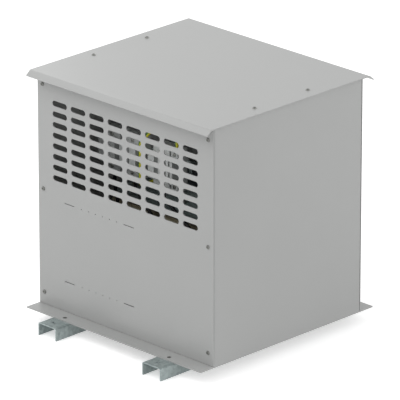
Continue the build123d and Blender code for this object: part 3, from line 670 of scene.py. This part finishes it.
@dataclass
class TerminalRow:
    """A row of terminals on its rail, with a clamping screw above and below in each block."""

    facing: Facing
    node: str
    centres_mm: tuple[float, ...]
    shoulder_step: float = 16 * MILLIMETRE
    band_middle: float = 10.5 * MILLIMETRE
    screw_radius: float = 4.2 * MILLIMETRE
    screw_height: float = 1.8 * MILLIMETRE
    slot_width: float = 1.2 * MILLIMETRE
    slot_depth: float = 1.0 * MILLIMETRE
    rim: float = 0.5 * MILLIMETRE
    rim_steps: int = 3

    def build(self) -> None:
        """Dress the blocks and add their screws as one group."""
        dress(TERMINAL_GREY, self.node)
        low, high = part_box(self.node)
        front = low.y if self.facing is Facing.FRONT else high.y
        face_y = front - self.facing.value * self.shoulder_step
        levels = (low.z + self.band_middle, high.z - self.band_middle)
        places = [
            Vector((x_mm * MILLIMETRE, face_y, level))
            for x_mm in self.centres_mm
            for level in levels
        ]
        screws = repeat(self.screw(), places)
        keep(screws, f"clamping_screws_{self.node}", ZINC)

    def screw(self) -> bpy.types.Object:
        """A slotted cheese-head screw, its foot at the origin and its slot outwards.

        Returns:
            The screw, with its turn applied.
        """
        clear_selection()
        bpy.ops.mesh.primitive_cylinder_add(
            vertices=ROUND_SIDES,
            radius=self.screw_radius,
            depth=self.screw_height,
            location=(0, 0, self.screw_height / 2),
        )
        head = bpy.context.object
        bpy.ops.object.transform_apply(location=True, rotation=True, scale=True)
        bpy.ops.object.mode_set(mode="EDIT")
        half = self.screw_height / 2
        select_edges(head, lambda a, b: a.z > half and b.z > half)
        bpy.ops.mesh.bevel(offset=self.rim, segments=self.rim_steps)
        bpy.ops.object.mode_set(mode="OBJECT")
        clear_selection()
        bpy.ops.mesh.primitive_cube_add(
            size=1,
            location=(0, 0, self.screw_height),
            scale=(3 * self.screw_radius, self.slot_width, 2 * self.slot_depth),
        )
        cutter = bpy.context.object
        bpy.ops.object.transform_apply(location=True, rotation=True, scale=True)
        clear_selection()
        head.select_set(True)
        bpy.context.view_layer.objects.active = head
        cut = head.modifiers.new("slot", "BOOLEAN")
        cut.operation = "DIFFERENCE"
        cut.object = cutter
        bpy.ops.object.modifier_apply(modifier=cut.name)
        bpy.data.objects.remove(cutter)
        head.rotation_euler = (-self.facing.value * math.pi / 2, 0, 0)
        bpy.ops.object.transform_apply(location=True, rotation=True, scale=True)
        bpy.ops.object.shade_smooth_by_angle(angle=SMOOTH_ANGLE)
        return head


@dataclass
class LeadSleeves:
    """Braided sleeves that guard the leads where they leave one side's windings."""

    facing: Facing
    leads: str
    starts_mm: tuple[tuple[str, float], ...]
    level: float = 78 * MILLIMETRE
    inner: float = 3.6 * MILLIMETRE
    wall: float = 1.4 * MILLIMETRE
    length: float = 9 * MILLIMETRE
    rim: float = 0.5 * MILLIMETRE
    rim_steps: int = 2
    rim_angle: float = math.radians(50)

    def build(self) -> None:
        """Place a sleeve on every lead of the side."""
        places = []
        for place, shift_mm in self.starts_mm:
            low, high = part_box(f"hv_winding_{place}")
            x = (low.x + high.x) / 2 + shift_mm * MILLIMETRE
            y = low.y if self.facing is Facing.FRONT else high.y
            places.append(Vector((x, y, low.z + self.level)))
        keep(repeat(self.sleeve(), places), f"sleeves_{self.leads}", GLASS_TAPE)

    def sleeve(self) -> bpy.types.Object:
        """A short tube along Y from the origin, with eased rims.

        Returns:
            The sleeve, pointing out of its winding.
        """
        clear_selection()
        bpy.ops.mesh.primitive_cylinder_add(
            vertices=ROUND_SIDES,
            radius=self.inner + self.wall,
            depth=self.length,
            end_fill_type="NOTHING",
            location=(0, self.facing.value * self.length / 2, 0),
            rotation=(math.pi / 2, 0, 0),
        )
        tube = bpy.context.object
        bpy.ops.object.transform_apply(location=True, rotation=True, scale=True)
        wall = tube.modifiers.new("wall", "SOLIDIFY")
        wall.thickness = self.wall
        wall.offset = -1.0
        bpy.ops.object.modifier_apply(modifier=wall.name)
        ease = tube.modifiers.new("ease", "BEVEL")
        ease.width = self.rim
        ease.segments = self.rim_steps
        ease.angle_limit = self.rim_angle
        bpy.ops.object.modifier_apply(modifier=ease.name)
        bpy.ops.object.shade_smooth_by_angle(angle=SMOOTH_ANGLE)
        return tube


@dataclass
class Wiring:
    """Rails, brackets, leads and the earth connection."""

    rows: tuple[TerminalRow, ...] = (
        TerminalRow(Facing.FRONT, "primary_terminals", (-158.0, -98.0, -16.0)),
        TerminalRow(Facing.REAR, "secondary_terminals", (-160.0, -122.0, -84.0, -46.0)),
        TerminalRow(Facing.FRONT, "earth_terminal", (21.0,)),
    )
    sleeves: tuple[LeadSleeves, ...] = (
        LeadSleeves(
            Facing.FRONT,
            "primary_leads",
            (("left", 0.0), ("centre", 0.0), ("right", 0.0)),
        ),
        LeadSleeves(
            Facing.REAR,
            "secondary_leads",
            (("left", 0.0), ("centre", 0.0), ("right", -15.0), ("right", 35.0)),
        ),
    )

    def build(self) -> None:
        """Dress the wiring, and build each row of terminals and each group of sleeves."""
        for side in ("front", "rear"):
            dress(GALVANISED, f"terminal_rail_{side}", f"rail_brackets_{side}")
        dress(ZINC, "rail_screws", "bracket_screws", "earth_screw")
        dress(TIN, "earth_lug")
        dress(LEAD_BLACK, "primary_leads", "secondary_leads")
        dress(EARTH, "earth_lead")
        for row in self.rows:
            row.build()
        for group in self.sleeves:
            group.build()


# --- Studio -----------------------------------------------------------------------------------
@dataclass(frozen=True)
class Lamp:
    """A square soft lamp that looks at the object: angles in degrees, sizes in metres, watts."""

    name: str
    azimuth: float
    elevation: float
    distance: float
    size: float
    power: float


@dataclass
class Studio:
    """Floor, soft lamps, pale surroundings and the camera."""

    lamps: tuple[Lamp, ...] = (
        Lamp("key", azimuth=-28.0, elevation=48.0, distance=2.6, size=2.0, power=27.0),
        Lamp("fill", azimuth=115.0, elevation=25.0, distance=3.0, size=2.4, power=17.5),
        Lamp("back", azimuth=165.0, elevation=15.0, distance=3.0, size=2.4, power=13.0),
        Lamp("side", azimuth=-100.0, elevation=42.0, distance=1.3, size=0.8, power=1.6),
    )
    floor_size: float = 60.0
    floor_colour: str = "F4F4F4"
    floor_lift: float = 0.5
    grille_size: tuple[float, float] = (0.22, 0.16)
    grille_x: float = 0.0
    grille_y: float = 0.2085
    grille_z: float = 0.395
    grille_power: float = 0.05
    grille_spread: float = 100.0
    ambient: float = 0.57
    azimuth: float = 44.79
    elevation: float = 20.63
    distance: float = 11.078
    lens: float = 491.4
    sensor: float = 36.0
    reach: float = 200.0
    aim: tuple[float, float, float] = (0.0016, -0.0010, 0.2632)

    def build(self) -> None:
        """Make the floor, the world, the lamps and the camera."""
        self.floor()
        self.world()
        for lamp in self.lamps:
            self.lamp(lamp)
        self.grille_light("grille_front", Facing.FRONT)
        self.grille_light("grille_rear", Facing.REAR)
        self.camera()

    def direction(self, azimuth: float, elevation: float) -> Vector:
        """The unit vector from the object towards an azimuth and elevation in degrees."""
        turn, lift = math.radians(azimuth), math.radians(elevation)
        return Vector(
            (math.sin(turn) * math.cos(lift), -math.cos(turn) * math.cos(lift), math.sin(lift))
        )

    def seen(self, tree: bpy.types.NodeTree) -> bpy.types.NodeSocket:
        """Tell rays that see a background from rays that light the object.

        Args:
            tree: the node tree that asks.

        Returns:
            A socket that is 1 to the camera, in reflections and through glass, and 0 elsewhere.
        """
        path = add_node(tree, "ShaderNodeLightPath")
        straight = add_node(
            tree,
            "ShaderNodeMath",
            links={0: path.outputs["Is Camera Ray"], 1: path.outputs["Is Glossy Ray"]},
            operation="ADD",
        )
        through = add_node(
            tree,
            "ShaderNodeMath",
            links={0: straight.outputs[0], 1: path.outputs["Is Transmission Ray"]},
            operation="ADD",
            use_clamp=True,
        )
        return through.outputs[0]

    def floor(self) -> None:
        """A pale floor that shows white to the camera and keeps the object's shadow."""
        clear_selection()
        bpy.ops.mesh.primitive_plane_add(size=self.floor_size, location=(0, 0, 0))
        plane = bpy.context.object
        plane.name = "floor"
        made = bpy.data.materials.new("studio_floor")
        made.use_nodes = True
        tree = made.node_tree
        tree.nodes.clear()
        paint = add_node(tree, "ShaderNodeBsdfDiffuse", {"Color": linear(self.floor_colour)})
        lift = add_node(
            tree,
            "ShaderNodeMath",
            {1: self.floor_lift},
            {0: self.seen(tree)},
            operation="MULTIPLY",
        )
        glow = add_node(
            tree,
            "ShaderNodeEmission",
            {"Color": linear("FFFFFF")},
            {"Strength": lift.outputs[0]},
        )
        both = add_node(
            tree, "ShaderNodeAddShader", links={0: paint.outputs[0], 1: glow.outputs[0]}
        )
        add_node(tree, "ShaderNodeOutputMaterial", links={"Surface": both.outputs[0]})
        plane.data.materials.append(made)

    def world(self) -> None:
        """White to the camera and in reflections, and a plain soft light elsewhere."""
        world = bpy.data.worlds.new("studio")
        bpy.context.scene.world = world
        world.use_nodes = True
        tree = world.node_tree
        tree.nodes.clear()
        strength = add_node(
            tree,
            "ShaderNodeMapRange",
            {"To Min": self.ambient, "To Max": 1.0},
            {"Value": self.seen(tree)},
        )
        light = add_node(
            tree,
            "ShaderNodeBackground",
            {"Color": linear("FFFFFF")},
            {"Strength": strength.outputs[0]},
        )
        add_node(tree, "ShaderNodeOutputWorld", links={"Surface": light.outputs[0]})

    def lamp(self, lamp: Lamp) -> None:
        """Set up one lamp.

        Args:
            lamp: where it stands round the aim, its side and its power.
        """
        back = self.direction(lamp.azimuth, lamp.elevation)
        clear_selection()
        bpy.ops.object.light_add(type="AREA", location=Vector(self.aim) + back * lamp.distance)
        light = bpy.context.object
        light.name = lamp.name
        light.data.size = lamp.size
        light.data.energy = lamp.power
        light.rotation_euler = (-back).to_track_quat("-Z", "Y").to_euler()

    def grille_light(self, name: str, side: Facing) -> None:
        """Soft light just inside a grille, so that the coils behind the slots can be seen.

        Args:
            name: the lamp's name.
            side: which grille it stands behind.
        """
        clear_selection()
        bpy.ops.object.light_add(
            type="AREA", location=(self.grille_x, side.value * self.grille_y, self.grille_z)
        )
        light = bpy.context.object
        light.name = name
        light.data.shape = "RECTANGLE"
        light.data.size, light.data.size_y = self.grille_size
        light.data.energy = self.grille_power
        light.data.spread = math.radians(self.grille_spread)
        light.rotation_euler = Vector((0, -side.value, 0)).to_track_quat("-Z", "Z").to_euler()
        light.visible_camera = False
        light.visible_glossy = False

    def camera(self) -> None:
        """A long lens from the front right, a little above the roof."""
        back = self.direction(self.azimuth, self.elevation)
        clear_selection()
        bpy.ops.object.camera_add(location=Vector(self.aim) + back * self.distance)
        camera = bpy.context.object
        camera.rotation_euler = (-back).to_track_quat("-Z", "Y").to_euler()
        camera.data.lens = self.lens
        camera.data.sensor_width = self.sensor
        camera.data.clip_end = self.reach
        bpy.context.scene.camera = camera


def remove_start_objects() -> None:
    """Delete what a new file holds, apart from the loaded frame."""
    loaded = list(frame["nodes"].values()) + list(frame["bodies"].values())
    for thing in list(bpy.data.objects):
        if thing not in loaded:
            bpy.data.objects.remove(thing)


def main() -> None:
    """Build the object's sub-assemblies and its studio."""
    logging.basicConfig(level=logging.INFO, format="%(name)s: %(message)s")
    remove_start_objects()
    for assembly in (Enclosure(), Mountings(), WoundCore(), Wiring(), Studio()):
        assembly.build()
        log.info("built %s", type(assembly).__name__)
    bpy.context.scene.view_settings.view_transform = "Standard"


if __name__ == "__main__":
    main()
